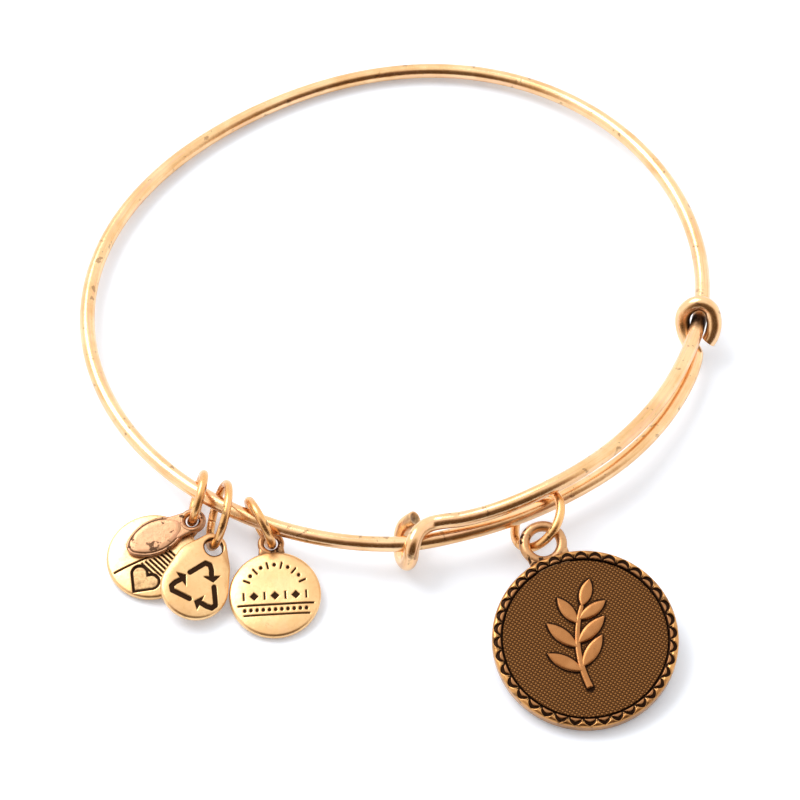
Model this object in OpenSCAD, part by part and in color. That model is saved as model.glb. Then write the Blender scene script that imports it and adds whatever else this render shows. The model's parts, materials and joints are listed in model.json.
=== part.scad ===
// Expandable charm bangle: one round wire that overlaps itself and coils round its
// own two ends, four jump rings, a large disc charm and four small tags.

/* [Bangle wire] */
// Diameter of the bangle wire
wire_d = 1.63; // [1.5:0.01:1.66]
// Mean radius of the bangle, at the middle of the overlap
loop_r = 31.06; // [30:0.1:33]
// Height of the loop's middle line at the small tags' side
front_h = 3.6; // [3.5:0.05:3.8]
// How far the loop's plane falls from front to back
fall_back = 3.58; // [3.3:0.02:3.58]
// How far the loop's plane rises from left to right
rise_right = 0.3; // [0.1:0.05:0.5]

/* [Jump rings] */
// Wire diameter of the two small jump rings
ring_wire = 0.95; // [0.8:0.05:0.95]
// Outer diameter of the two small jump rings
ring_d = 5.95; // [5.9:0.05:6]
// Wire diameter of the drop tag's jump ring
drop_ring_wire = 0.86; // [0.8:0.02:0.88]
// Outer diameter of the drop tag's jump ring
drop_ring_d = 7.42; // [7.4:0.01:7.44]
// Wire diameter of the large jump ring
big_ring_wire = 0.96; // [0.8:0.04:0.96]
// Outer diameter of the large jump ring
big_ring_d = 7.16; // [7.12:0.02:7.2]
// Width of the butt cut in a jump ring
ring_cut = 0.1; // [0.06:0.02:0.2]

/* [Disc charm] */
// Diameter of the disc
disc_d = 18.6; // [18.4:0.1:18.7]
// Thickness of the disc at its rim
disc_t = 1.7; // [1.4:0.1:2]
// Diameter of the sunk field inside the rim
field_d = 16.3; // [15:0.1:16.5]
// Depth of the field below the rim
field_depth = 0.25; // [0.15:0.05:0.4]
// Number of scallops round the rim
scallops = 38; // [30:1:44]
// Height of the raised sprig over the field
sprig_h = 0.25; // [0.2:0.05:0.4]
// Width of the sprig's stem
stem_w = 0.7; // [0.6:0.1:1]

/* [Tags] */
// Thickness of the round, heart and drop tags
tag_t = 1; // [0.8:0.05:1]
// Diameter of the round tag and of the heart tag
tag_d = 9.3; // [8.6:0.1:9.3]
// Depth of what is engraved on the tags
engrave = 0.12; // [0.08:0.02:0.2]
// Radius of the drop tag's round body
drop_r = 3.46; // [3.4:0.02:3.48]
// Length of the oval tag
oval_l = 6.4; // [6:0.1:6.6]
// Width of the oval tag
oval_w = 3.9; // [3.4:0.1:4]
// Thickness of the oval tag
oval_t = 0.6; // [0.5:0.05:0.65]

/* [Hidden] */

// Middle of the finished part over the floor, taken to the origin
mid = [-0.03, 1.965];
// Centre of the loop, and the line across it where front_h is measured
loop_at = [0.06, 11.73];
front_y = -19;
// Out-of-round of the loop: waves round the loop, height of a wave, direction of its crest
out_of_round = [[2, 1.36, 21.5], [3, 0.36, 64.2], [4, 0.15, -5.5]];
// Course angles of the two coils, where the overlap begins and ends
coil_a_at = -88;
coil_b_at = -13.9;
// The inner wire over the outer one: course angle, how far inward, how far up
lanes = [[-88, 1.61, 1.3], [-76, 0.45, 2.1], [-58, -0.13, 3.75], [-40, 0.76, 2.7],
         [-20, 0.96, 1.8], [-5, 0.26, 1.55]];
// Share of the upward step that the inner wire takes, the outer one taking the rest
inner_rise = 0.8;
// Where each coil leaves its lane: distance along the loop from the coil, and one more step
lead_a = 3.3;
lead_b = -2;
lead_step = 1.2;
// Wire end round the outer wire: roll, distance along, distance from that wire's line
coil_a = [[124, 2.2, 1.86], [110, 1.25, 1.86], [85, 0.5, 1.88], [52, 0.05, 1.9],
          [10, -0.15, 1.9], [-38, -0.5, 1.95], [-90, -0.95, 2.05], [-135, -1, 2.18],
          [-166, -0.75, 2.28], [-186, -0.2, 2.38], [-202, 0.45, 2.48]];
// Wire end round the inner wire: roll, distance along, distance from that wire's line
coil_b = [[-66, -0.3, 1.74], [-75, 0.45, 1.73], [-95, 1.15, 1.71], [-125, 2.1, 1.7],
          [-166, 3.3, 1.71], [-212, 4.05, 1.8], [-262, 4.4, 1.98], [-300, 4.03, 1.93],
          [-331, 3.25, 1.79], [-359, 2.5, 1.72], [-380, 2, 1.73], [-395, 1.65, 1.74]];
// Sides of the wire's section, and steps along its course
sides = 12;
course_step = 5;
coil_steps = 4;

// Facets of a full circle
$fn = 72;
// Rounding of the edges of the disc and of the round tags
disc_edge = 0.45;
tag_edge = 0.3;
// Height that neighbouring shapes of one solid share, and clear height over a cut
overlap = 0.1;
clear = 1;

// Place of each jump ring: centre, tip of its axis from upright, turn of its axis, place of its cut
disc_ring_at = [[13.91, -16.51, 3.57], 43.7, 174.5, 45];
round_tag_ring_at = [[-14.16, -16.56, 2.99], 83.4, 27.8, 140];
drop_tag_ring_at = [[-18.293, -16.007, 3.562], 71.8, 175.2, 344];
pair_ring_at = [[-20.56, -13.63, 2.98], 76.9, 171.1, 239];

// Place of each flat piece: middle of its thickness, lift of its far side, lift of its left side
disc_at = [[18.44, -29.65, 2.36], 9.5, 0];
round_at = [[-12.58, -23.8, 1.08], 7, 0];
drop_at = [[-20.68, -23.4, 2.03], 7, 12];
heart_at = [[-25.1, -19.4, 1.06], 6, -3];
oval_at = [[-24.73, -17.66, 2.13], 6, -3];
// Bails: place on the piece, mean radius, wire radius
disc_bail = [[-4.05, 10.2], 1.88, 0.55];
round_bail = [[-0.49, 5.55], 1.03, 0.33];
heart_bail = [[4.03, 3.87], 1.03, 0.33];
oval_bail = [[3.62, 1.65], 1, 0.3];
// Foot of each bail's neck, inside the piece: centre and radius
disc_foot = [[-3.3, 8.3], 2.1];
round_foot = [[-0.38, 4.1], 1.38];
heart_foot = [[3.05, 2.85], 1.38];
oval_foot = [[1.85, 0.9], 1.35];
// Share of the bail wire's diameter that the neck is thick
neck_share = 0.8;

// Thin groove round the disc's field: radius, width, depth below the field
groove_r = 8.34;
groove_w = 0.14;
groove_cut = 0.15;
// Scallops outside the groove: a sunk pointed arch with a raised lobe at its foot
arch_foot = 8.41;
arch_w = 0.66;
arch_h = 0.76;
lobe_w = 0.56;
lobe_h = 0.36;
arch_cut = 0.2;
first_arch = 5;
// Sprig: radius of its stem's arc, how far that bows left, its ends below and above the middle
stem_r = 12;
stem_bow = 0.8;
stem_down = 5.2;
stem_up = 3.4;
// Leaves: place along the stem, turn from the stem's way, length, width
leaves = [[-17, 46, 4, 1.4], [-15, -46, 4, 1.4], [-5, 46, 4, 1.4], [-3, -46, 4, 1.4],
          [7, 44, 3.4, 1.3], [9, -44, 3.4, 1.3], [16, 0, 3, 1.3]];

// Round tag: radius of its arc of ticks, angle of the first tick and from tick to tick
tick_r = 2.75;
tick_from = 27;
tick_step = 13;
tick = [0.7, 0.16];
dot_r = 0.17;
// Round tag's three rows: height, pitch
lozenge_row_at = [-0.25, 1.05];
dot_row_at = [-1.75, 0.62];
lozenge = 0.62;
upright = [0.18, 0.8];
rows_turn = 3.5;
// Rules of the round tag: left end, right end, height, width
round_rules = [[-3.75, 3.85, -1.22, 0.14], [-3.2, 3.4, -2.3, 0.11]];

// Drop tag: middle of its body, then centre and radius of the circles over that
drop_body = [0.03, -0.1];
drop_shoulder = [[0.72, 2.15], 2.9];
drop_top = [[1.75, 4.45], 1.5];
// Hole of the drop tag, radius and chamfer
drop_hole_at = [1.84, 4.34];
drop_hole = 0.95;
chamfer = 0.12;
// Middle of the three bent arrows
arrows_at = [0.3, -0.08];
// Bent arrow: points along its line, its tip, the ends of its head's wings, and its width
arrow_line = [[-0.83, 1.42], [0.7, 2.55], [1.2, 2.38], [1.36, 1.85], [1.38, 1.1]];
arrow_tip = [1.56, 0.58];
arrow_wings = [[0.68, 1.05], [2.12, 1.2]];
arrow_w = 0.5;

// Heart tag: turn of its design, its rule from end to end, and the rule's width
heart_turn = 26.5;
heart_rule = [-4.15, 0.6];
rule_w = 0.16;
// Bars under the rule: how many, start of the first, pitch, lean, length, width
bars = 8;
bars_at = [-1.25, -0.42];
bar_pitch = 0.44;
bar_lean = -71.5;
bar = [2.2, 0.2];
// Heart: its tip, its lean, width of each arm, and where an arm's round end has its middle
heart_tip = [-3.32, -2.75];
heart_lean = -64.5;
heart_arm = 1.63;
heart_reach = 1.92;

// Oval tag: radius of its ends, its border's outer and inner inset and depth
oval_end = 1.2;
border = [0.25, 0.37];
border_cut = 0.08;

// Gentle step from 0 to 1
function ease(u) = let(v = min(max(u, 0), 1)) v * v * (3 - 2 * v);
function unit(v) = v / norm(v);

// Slope of a table of rows at row i, against the rows' first column
function row_slope(rows, i) =
    let(a = rows[max(i - 1, 0)], b = rows[min(i + 1, len(rows) - 1)]) (b - a) / (b[0] - a[0]);

// All columns of a table at the value x of its first column, on a smooth curve
function table_at(rows, x) =
    let(last = len(rows) - 1,
        v = min(max(x, rows[0][0]), rows[last][0]),
        i = max([for (k = [0:last - 1]) if (k == 0 || rows[k][0] <= v) k]),
        h = rows[i + 1][0] - rows[i][0],
        u = (v - rows[i][0]) / h)
    (2 * u^3 - 3 * u^2 + 1) * rows[i] + (3 * u^2 - 2 * u^3) * rows[i + 1]
    + h * (u^3 - 2 * u^2 + u) * row_slope(rows, i) + h * (u^3 - u^2) * row_slope(rows, i + 1);

// Point between rows i and i + 1 of a list of rows, on a smooth curve through them
function spline(rows, i, u) =
    let(last = len(rows) - 1,
        m0 = (rows[min(i + 1, last)] - rows[max(i - 1, 0)]) / 2,
        m1 = (rows[min(i + 2, last)] - rows[i]) / 2)
    (2 * u^3 - 3 * u^2 + 1) * rows[i] + (3 * u^2 - 2 * u^3) * rows[i + 1]
    + (u^3 - 2 * u^2 + u) * m0 + (u^3 - u^2) * m1;
function spline_rows(rows, steps) =
    [for (i = [0:len(rows) - 2]) for (k = [0:steps - 1]) spline(rows, i, k / steps), rows[len(rows) - 1]];

// Middle line of the loop
function out_dir(a) = [cos(a), sin(a), 0];
function loop_radius(a) =
    loop_r + [for (w = out_of_round) w[1] * cos(w[0] * (a - w[2]))] * [for (w = out_of_round) 1];
function loop_height(p) =
    front_h + rise_right * (p[0] / (2 * loop_r)) - fall_back * ((p[1] - front_y) / (2 * loop_r));

// Share of the step that a wire is off the middle line: -0.5 inner lane, 0.5 outer lane
coil_b_end = lanes[len(lanes) - 1][0];
function single_share(a) = ease((a - coil_b_end) / (coil_a_at + 360 - coil_b_end));
// Step from the outer wire to the inner one at course angle a: inward, up
function lane_step(a) =
    let(b_end = table_at(lanes, coil_b_end), a_end = table_at(lanes, coil_a_at), s = single_share(a),
        row = a <= coil_b_end ? table_at(lanes, a)
            : a >= coil_a_at + 360 ? table_at(lanes, a - 360)
            : (1 - s) * b_end + s * a_end)
    [row[1], row[2]];
function lane_share(a) = single_share(a) - 0.5;
function lane_point(a) =
    let(step = lane_step(a), share = lane_share(a),
        flat = concat(loop_at, [0]) + (loop_radius(a) + share * step[0]) * out_dir(a))
    [flat[0], flat[1], loop_height(flat) + (inner_rise - 0.5 - share) * step[1]];
// Roll of the line from the outer wire to the inner one, seen along the course
function lane_roll(a) = let(step = lane_step(a)) atan2(step[1], -step[0]);
function roll_dir(a, roll) = cos(roll) * out_dir(a) + [0, 0, sin(roll)];

// Course angle that lies a distance along the loop from angle a
function angle_along(a, along) = a + along / loop_radius(a) * 180 / PI;

// The wire's course: rows of centre point and side direction
function lane_course(a_from, a_to) =
    let(n = ceil((a_to - a_from) / course_step))
    [for (k = [0:n]) let(a = a_from + (a_to - a_from) * k / n) [lane_point(a), roll_dir(a, lane_roll(a))]];
function coil_course(rows, base, turn) =
    [for (row = spline_rows(rows, coil_steps))
        let(a = angle_along(base, row[1]))
        [lane_point(a) + row[2] * roll_dir(a, row[0]), roll_dir(a, row[0] + turn)]];

// A lane's own rows beside a coil, so that the coil leaves it without a kink
function lane_row(base, along, turn) =
    let(a = angle_along(base, along), step = lane_step(a)) [lane_roll(a) - turn, along, norm(step)];
function reversed(rows) = [for (i = [len(rows) - 1:-1:0]) rows[i]];

full_coil_a =
    concat([lane_row(coil_a_at, lead_a + lead_step, 0), lane_row(coil_a_at, lead_a, 0)], coil_a);
full_coil_b =
    concat([lane_row(coil_b_at, lead_b - lead_step, 180), lane_row(coil_b_at, lead_b, 180)], coil_b);
course = concat(
    reversed(coil_course(full_coil_a, coil_a_at + 360, 0)),
    lane_course(angle_along(coil_a_at, lead_a + lead_step) + course_step,
                angle_along(coil_b_at, lead_b - lead_step) + 360 - course_step),
    coil_course(full_coil_b, coil_b_at, 180));

// One tube round a course: each row is a centre point and a side direction
module tube(course, d) {
    n = len(course);
    rings = [for (i = [0:n - 1])
        let(ahead = unit(course[min(i + 1, n - 1)][0] - course[max(i - 1, 0)][0]),
            side = unit(course[i][1] - (course[i][1] * ahead) * ahead),
            up = cross(ahead, side))
        for (k = [0:sides - 1])
            course[i][0] + d / 2 * (cos(k * 360 / sides) * side + sin(k * 360 / sides) * up)];
    walls = [for (i = [0:n - 2]) for (k = [0:sides - 1])
        let(a = i * sides + k, b = i * sides + (k + 1) % sides)
        each [[a, a + sides, b + sides], [a, b + sides, b]]];
    first_cap = [for (k = [0:sides - 1]) k];
    last_cap = [for (k = [sides - 1:-1:0]) (n - 1) * sides + k];
    polyhedron(rings, concat(walls, [first_cap, last_cap]), convexity = 8);
}

module bangle_wire() {
    color("goldenrod") tube(course, wire_d);
}

// Ring with a butt cut
module jump_ring(at, outer_d, wire) {
    mean_r = (outer_d - wire) / 2;
    half_cut = ring_cut / 2 / mean_r * 180 / PI;
    translate(at[0]) rotate([0, at[1], at[2]]) rotate([0, 0, at[3] + half_cut])
        rotate_extrude(angle = 360 - 2 * half_cut) translate([mean_r, 0]) circle(wire / 2);
}

module disc_ring() {
    color("darkgoldenrod") jump_ring(disc_ring_at, big_ring_d, big_ring_wire);
}
module round_tag_ring() {
    color("goldenrod") jump_ring(round_tag_ring_at, ring_d, ring_wire);
}
module drop_tag_ring() {
    color("goldenrod") jump_ring(drop_tag_ring_at, drop_ring_d, drop_ring_wire);
}
module pair_ring() {
    color("goldenrod") jump_ring(pair_ring_at, ring_d, ring_wire);
}

// Puts a flat piece in its place
module placed(at) {
    translate(at[0]) rotate([at[1], 0, 0]) rotate([0, at[2], 0]) children();
}

module bail(row) {
    translate(row[0]) rotate_extrude() translate([row[1], 0]) circle(row[2]);
}

// Flat shape round two circles, each given as centre and radius, with their shared tangents
module joined(a, b) {
    step = b[0] - a[0];
    lean = acos((a[1] - b[1]) / norm(step));
    turn = atan2(step[1], step[0]);
    for (c = [a, b]) translate(c[0]) circle(c[1]);
    polygon([for (end = [[a, -1], [b, -1], [b, 1], [a, 1]])
        end[0][0] + end[0][1] * [cos(turn + end[1] * lean), sin(turn + end[1] * lean)]]);
}

// Web from a bail into its piece, outside the bail's middle line
module neck(row, foot) {
    thick = 2 * neck_share * row[2];
    translate([0, 0, -thick / 2]) linear_extrude(thick) difference() {
        joined(foot, [row[0], row[1] + row[2] / 2]);
        translate(row[0]) circle(row[1]);
    }
}

// Round plate with a rounded edge, its middle at the origin
module round_plate(r, t, edge) {
    rotate_extrude() {
        translate([0, -t / 2]) square([r - edge, t]);
        translate([0, edge - t / 2]) square([r, t - 2 * edge]);
        for (side = [-1, 1]) translate([r - edge, side * (t / 2 - edge)]) circle(edge);
    }
}

// Takes a flat design out of the upper face of a plate
module engraved(t, depth) {
    translate([0, 0, t / 2 - depth]) linear_extrude(depth + clear) children();
}

module ring_2d(r_in, r_out) {
    difference() {
        circle(r_out);
        circle(r_in);
    }
}

// Pointed oval from the origin along +X
module lens(length, width) {
    r = (length ^ 2 + width ^ 2) / (4 * width);
    intersection() {
        translate([length / 2, r - width / 2]) circle(r);
        translate([length / 2, width / 2 - r]) circle(r);
    }
}

// Cap of a disc from the Y axis out along +X: half its width on that axis, and its height
module cap(half_w, h) {
    r = (half_w ^ 2 + h ^ 2) / (2 * h);
    translate([h - r, 0]) circle(r);
}

// Scallop along the X axis: a pointed arch, without the lobe at its foot
module scallop() {
    side_r = (arch_w ^ 2 + arch_h ^ 2) / (2 * arch_w);
    translate([arch_foot, 0]) difference() {
        intersection() {
            translate([0, side_r - arch_w]) circle(side_r);
            translate([0, arch_w - side_r]) circle(side_r);
            translate([0, -arch_w]) square([arch_h, 2 * arch_w]);
        }
        cap(lobe_w, lobe_h);
    }
}

// Raised sprig: stem on a wide arc, a leaf at its tip and leaves in pairs
module sprig() {
    translate([stem_r - stem_bow, 0]) {
        intersection() {
            ring_2d(stem_r - stem_w / 2, stem_r + stem_w / 2);
            translate([-stem_r - 1, -stem_down]) square([3, stem_down + stem_up]);
        }
        for (leaf = leaves)
            rotate(180 - leaf[0]) translate([stem_r, 0]) rotate(leaf[1] - 90) lens(leaf[2], leaf[3]);
    }
}

module disc_charm() {
    color("peru") placed(disc_at) {
        difference() {
            union() {
                round_plate(disc_d / 2, disc_t, disc_edge);
                bail(disc_bail);
                neck(disc_bail, disc_foot);
            }
            engraved(disc_t, field_depth) circle(field_d / 2);
            engraved(disc_t, field_depth + groove_cut)
                ring_2d(groove_r - groove_w / 2, groove_r + groove_w / 2);
            engraved(disc_t, arch_cut)
                for (k = [1:scallops]) rotate(first_arch + k * 360 / scallops) scallop();
        }
        translate([0, 0, disc_t / 2 - field_depth - overlap]) linear_extrude(sprig_h + overlap) sprig();
    }
}

// Round tag: an arc of ticks, a row of lozenges, and a row of dots between two rules
module tick_arc() {
    for (k = [0:10]) rotate(tick_from + k * tick_step) translate([tick_r, 0]) {
        if (k % 2 == 0) translate([0, -tick[1] / 2]) square(tick);
        else translate([tick[0] / 2, 0]) circle(dot_r);
    }
}
module lozenge_row() {
    for (k = [-3:3]) translate([k * lozenge_row_at[1], lozenge_row_at[0]]) {
        if (k % 2 == 0) rotate(45) square(lozenge, center = true);
        else square(upright, center = true);
    }
}
module dot_row() {
    for (k = [-5:5]) translate([k * dot_row_at[1], dot_row_at[0]]) circle(dot_r);
}
module rule(x0, x1, y, width) {
    translate([x0, y - width / 2]) square([x1 - x0, width]);
}
module round_tag() {
    color("burlywood") placed(round_at) difference() {
        union() {
            round_plate(tag_d / 2, tag_t, tag_edge);
            bail(round_bail);
            neck(round_bail, round_foot);
        }
        engraved(tag_t, engrave) {
            tick_arc();
            rotate(rows_turn) {
                lozenge_row();
                dot_row();
                for (row = round_rules) rule(row[0], row[1], row[2], row[3]);
            }
        }
    }
}

// Outline of the drop: a round body, a shoulder and a round top
module drop_outline() {
    for (pair = [[[drop_body, drop_r], drop_shoulder], [drop_shoulder, drop_top]])
        hull() for (c = pair) translate(c[0]) circle(c[1]);
}

// Stroke with round ends from one point to another
module stroke(from, to, width) {
    hull() for (end = [from, to]) translate(end) circle(width / 2);
}

// One bent arrow: along its line, and into its head
module bent_arrow() {
    for (i = [1:len(arrow_line) - 1]) stroke(arrow_line[i - 1], arrow_line[i], arrow_w);
    polygon([arrow_wings[0], arrow_tip, arrow_wings[1]]);
}

module drop_tag() {
    color("burlywood") placed(drop_at) difference() {
        translate([0, 0, -tag_t / 2]) linear_extrude(tag_t) drop_outline();
        translate(concat(drop_hole_at, [-clear])) cylinder(h = 2 * clear, r = drop_hole);
        translate(concat(drop_hole_at, [tag_t / 2 - chamfer]))
            cylinder(h = chamfer + overlap, r1 = drop_hole, r2 = drop_hole + chamfer + overlap);
        engraved(tag_t, engrave)
            translate(arrows_at) for (k = [0:2]) rotate(120 * k) bent_arrow();
    }
}

// Heart with its tip at the origin, its cleft above it: two arms with round ends
module heart_2d() {
    rotate(45) {
        square([heart_arm, heart_reach]);
        square([heart_reach, heart_arm]);
        translate([heart_arm / 2, heart_reach]) circle(heart_arm / 2);
        translate([heart_reach, heart_arm / 2]) circle(heart_arm / 2);
    }
}

module heart_tag() {
    color("burlywood") placed(heart_at) difference() {
        union() {
            round_plate(tag_d / 2, tag_t, tag_edge);
            bail(heart_bail);
            neck(heart_bail, heart_foot);
        }
        engraved(tag_t, engrave) rotate(heart_turn) {
            rule(heart_rule[0], heart_rule[1], 0, rule_w);
            for (k = [0:bars - 1])
                translate(bars_at + [k * bar_pitch, 0]) rotate(bar_lean)
                    translate([0, -bar[1] / 2]) square(bar);
            translate(heart_tip) rotate(heart_lean) heart_2d();
        }
    }
}

// Outline of the oval tag, drawn in by an inset: two ends and two wide side arcs that touch them
module oval_outline(inset) {
    l = oval_l / 2 - inset;
    w = oval_w / 2 - inset;
    end_r = oval_end - inset;
    c = l - end_r;
    side_r = (c ^ 2 + w ^ 2 - end_r ^ 2) / (2 * (w - end_r));
    join_x = c * side_r / (side_r - end_r);
    for (side = [-1, 1]) translate([side * c, 0]) circle(end_r);
    intersection() {
        translate([0, w - side_r]) circle(side_r);
        translate([0, side_r - w]) circle(side_r);
        square([2 * join_x, 4 * w], center = true);
    }
}

module oval_tag() {
    color("burlywood") placed(oval_at) difference() {
        union() {
            translate([0, 0, -oval_t / 2]) linear_extrude(oval_t) rotate(heart_turn) oval_outline(0);
            bail(oval_bail);
            neck(oval_bail, oval_foot);
        }
        engraved(oval_t, border_cut) rotate(heart_turn) difference() {
            oval_outline(border[0]);
            oval_outline(border[1]);
        }
    }
}

// Takes a piece from the frame it is laid out in to the finished part's frame
module at_origin() {
    translate([-mid[0], -mid[1], 0]) children();
}
at_origin() bangle_wire();
at_origin() disc_ring();
at_origin() round_tag_ring();
at_origin() drop_tag_ring();
at_origin() pair_ring();
at_origin() disc_charm();
at_origin() round_tag();
at_origin() drop_tag();
at_origin() heart_tag();
at_origin() oval_tag();
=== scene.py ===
"""Looks of the expandable charm bangle: round wire, jump rings, tags, and a disc with a raised sprig.

Lengths in the tables are millimetres in the frame in which the CAD source lays the pieces out.
"""

import json
import math

import bmesh
import bpy
import numpy as np
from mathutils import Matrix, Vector


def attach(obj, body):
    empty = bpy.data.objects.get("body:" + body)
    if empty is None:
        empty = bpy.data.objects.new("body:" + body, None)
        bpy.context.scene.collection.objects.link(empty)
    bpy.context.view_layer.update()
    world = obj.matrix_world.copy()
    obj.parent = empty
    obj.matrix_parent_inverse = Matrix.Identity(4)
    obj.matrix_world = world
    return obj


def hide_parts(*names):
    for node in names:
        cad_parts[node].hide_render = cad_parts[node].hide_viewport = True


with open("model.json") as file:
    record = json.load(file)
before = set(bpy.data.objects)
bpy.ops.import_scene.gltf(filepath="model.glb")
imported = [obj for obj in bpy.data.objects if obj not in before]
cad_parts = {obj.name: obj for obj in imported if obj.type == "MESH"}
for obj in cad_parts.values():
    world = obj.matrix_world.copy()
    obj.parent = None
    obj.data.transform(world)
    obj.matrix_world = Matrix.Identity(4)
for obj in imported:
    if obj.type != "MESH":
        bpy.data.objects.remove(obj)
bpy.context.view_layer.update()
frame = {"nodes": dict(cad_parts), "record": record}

MM = 0.001
# Middle of the finished part, which is the frame's origin
MID = np.array([-0.03, 1.965, 0.0])

# Camera: height over the surface in degrees, distance in millimetres, lens and sensor width, and the
# nearest and farthest that it sees, in metres
CAM_ELEVATION = 58.0
CAM_DISTANCE = 400.0
CAM_LENS = 172.8
CAM_SENSOR = 36.0
CAM_NEAR, CAM_FAR = 0.01, 10

# Bangle wire. Its radius lies between the flats and the corners of the CAD's twelve-sided wire.
WIRE_R = 0.79
# Loop: mean radius, centre, height at the line FRONT_Y, how far it falls to the back and rises to the right
LOOP_R = 31.06
LOOP_AT = (0.06, 11.73)
FRONT_Y = -19.0
FRONT_H = 3.6
FALL_BACK = 3.58
RISE_RIGHT = 0.3
# Waves round the loop, height of a wave, direction of its crest
OUT_OF_ROUND = ((2, 1.36, 21.5), (3, 0.36, 64.2), (4, 0.15, -5.5))
# Course angles of the two coils
COIL_A_AT = -88.0
COIL_B_AT = -13.9
# Steps along the course: degrees on the lanes, points between two rows of a coil
LANE_DEGREES, COIL_STEPS = 0.75, 14
# Inner wire over the outer one: course angle, how far inward, how far up
LANES = np.array([(-88, 1.61, 1.3), (-76, 0.45, 2.1), (-58, -0.13, 3.75), (-40, 0.76, 2.7),
                  (-20, 0.96, 1.8), (-5, 0.26, 1.55)], float)
# Share of the upward step that the inner wire takes, the outer one taking the rest
INNER_RISE = 0.8
# Where each coil leaves its lane: distance along the loop from the coil, and one more step
LEAD_A, LEAD_B, LEAD_STEP = 3.3, -2.0, 1.2
# Wire ends round the wire: roll, distance along, distance from that wire's line
COIL_A = np.array([(124, 2.2, 1.86), (110, 1.25, 1.86), (85, 0.5, 1.88), (52, 0.05, 1.9), (10, -0.15, 1.9),
                   (-38, -0.5, 1.95), (-90, -0.95, 2.05), (-135, -1, 2.18), (-166, -0.75, 2.28),
                   (-186, -0.2, 2.38), (-202, 0.45, 2.48)], float)
COIL_B = np.array([(-66, -0.3, 1.74), (-75, 0.45, 1.73), (-95, 1.15, 1.71), (-125, 2.1, 1.7),
                   (-166, 3.3, 1.71), (-212, 4.05, 1.8), (-262, 4.4, 1.98), (-300, 4.03, 1.93),
                   (-331, 3.25, 1.79), (-359, 2.5, 1.72), (-380, 2, 1.73), (-395, 1.65, 1.74)], float)

# Jump rings: centre, tip of the axis from upright, turn of the axis, place of the cut,
# outer diameter, wire diameter
RINGS = {
    "disc_ring": ((13.91, -16.51, 3.57), 43.7, 174.5, 45, 7.16, 0.96),
    "round_tag_ring": ((-14.16, -16.56, 2.99), 83.4, 27.8, 140, 5.95, 0.95),
    "drop_tag_ring": ((-18.293, -16.007, 3.562), 71.8, 175.2, 344, 7.42, 0.86),
    "pair_ring": ((-20.56, -13.63, 2.98), 76.9, 171.1, 239, 5.95, 0.95),
}
# Width of a jump ring's cut
RING_CUT = 0.1
# Flat pieces: middle of the thickness, lift of the far side, lift of the left side
PLACES = {
    "disc_charm": ((18.44, -29.65, 2.36), 9.5, 0),
    "round_tag": ((-12.58, -23.8, 1.08), 7, 0),
    "drop_tag": ((-20.68, -23.4, 2.03), 7, 12),
    "heart_tag": ((-25.1, -19.4, 1.06), 6, -3),
    "oval_tag": ((-24.73, -17.66, 2.13), 6, -3),
}
# Bails: place on the piece, mean radius, wire radius, then centre and radius of the neck's foot
BAILS = {
    "disc_charm": ((-4.05, 10.2), 1.88, 0.55, (-3.3, 8.3), 2.1),
    "round_tag": ((-0.49, 5.55), 1.03, 0.33, (-0.38, 4.1), 1.38),
    "heart_tag": ((4.03, 3.87), 1.03, 0.33, (3.05, 2.85), 1.38),
    "oval_tag": ((3.62, 1.65), 1.0, 0.3, (1.85, 0.9), 1.35),
}
# Disc: radius, thickness, depth of its field, and radius and width of the groove round the field
DISC_R, DISC_T, FIELD_DEPTH = 9.3, 1.7, 0.25
GROOVE_R, GROOVE_W = 8.34, 0.16
# Scallops: how many, angle of the first, radius of their feet, half width and height of an arch,
# and the same of the lobe inside it
SCALLOPS, FIRST_ARCH, ARCH_FOOT, ARCH_W, ARCH_H = 38, 5.0, 8.41, 0.66, 0.76
LOBE_W, LOBE_H = 0.56, 0.36
# Round tags: radius and thickness, which the drop tag shares
TAG_R, TAG_T = 4.65, 1.0
# Drop tag: centre and radius of its body, its shoulder and its top, and of its hole
DROP = (((0.03, -0.1), 3.46), ((0.72, 2.15), 2.9), ((1.75, 4.45), 1.5))
DROP_HOLE, DROP_HOLE_R = (1.84, 4.34), 0.95
# Oval tag: length, width, radius of its ends, thickness
OVAL_L, OVAL_W, OVAL_END, OVAL_T = 6.4, 3.9, 1.2, 0.6
# Share of a bail wire's diameter that its neck is thick, and of the neck's thickness that its edge rounds
NECK_SHARE, NECK_EDGE = 0.8, 0.45
# Painted shade on the sides of the flat pieces, on a bail next to its neck, and where a neck meets its piece
SIDE_PAINTED_SHADE, BAIL_PAINTED_SHADE, NECK_PAINTED_SHADE = 0.3, 0.25, 0.4
# Cosines between which the bail's painted shade comes in toward its neck, and the width of the neck's
# painted shade
BAIL_FADE, NECK_FADE = (0.3, 0.9), 0.35
# Open end of a wire, a shallow dish: rings from its rim to its middle, each with its share of the
# wire's radius and how far it lies inside the end; and the painted shade on each ring
END_DISH = ((0.86, -0.05), (0.7, 0.02), (0.35, 0.1), (0, 0.12))
END_PAINTED_SHADE = (0.3, 0.5, 0.55, 0.6)
# Painted shade inside the two coils: coil, place along the wire, depth, distances from and to which it fades
COIL_PAINTED_SHADE = ((COIL_A_AT, 0, 0.4, 0.8, 1.6), (COIL_B_AT, 3.1, 0.75, 0.5, 2.1))
# Turn of the heart tag's marks and of the whole oval tag
HEART_TURN = 26.5
# How far a flat piece's skin and a jump ring's skin lie inside the piece's size, and the share of a
# bail's radius that its skin keeps
SKIN, RING_SKIN, BAIL_SKIN = 0.005, 0.004, 0.99
# Points along a tag's edge, a bail and a jump ring, and round the wire, a bail and a jump ring
TAG_STEPS, BAIL_STEPS, RING_STEPS = 420, 120, 150
WIRE_SIDES, BAIL_SIDES, RING_SIDES = 32, 24, 24
# Points along the oval tag's edge, a neck's edge and one scallop of the disc's edge
OVAL_STEPS, NECK_STEPS, SCALLOP_STEPS = 240, 160, 18
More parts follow.
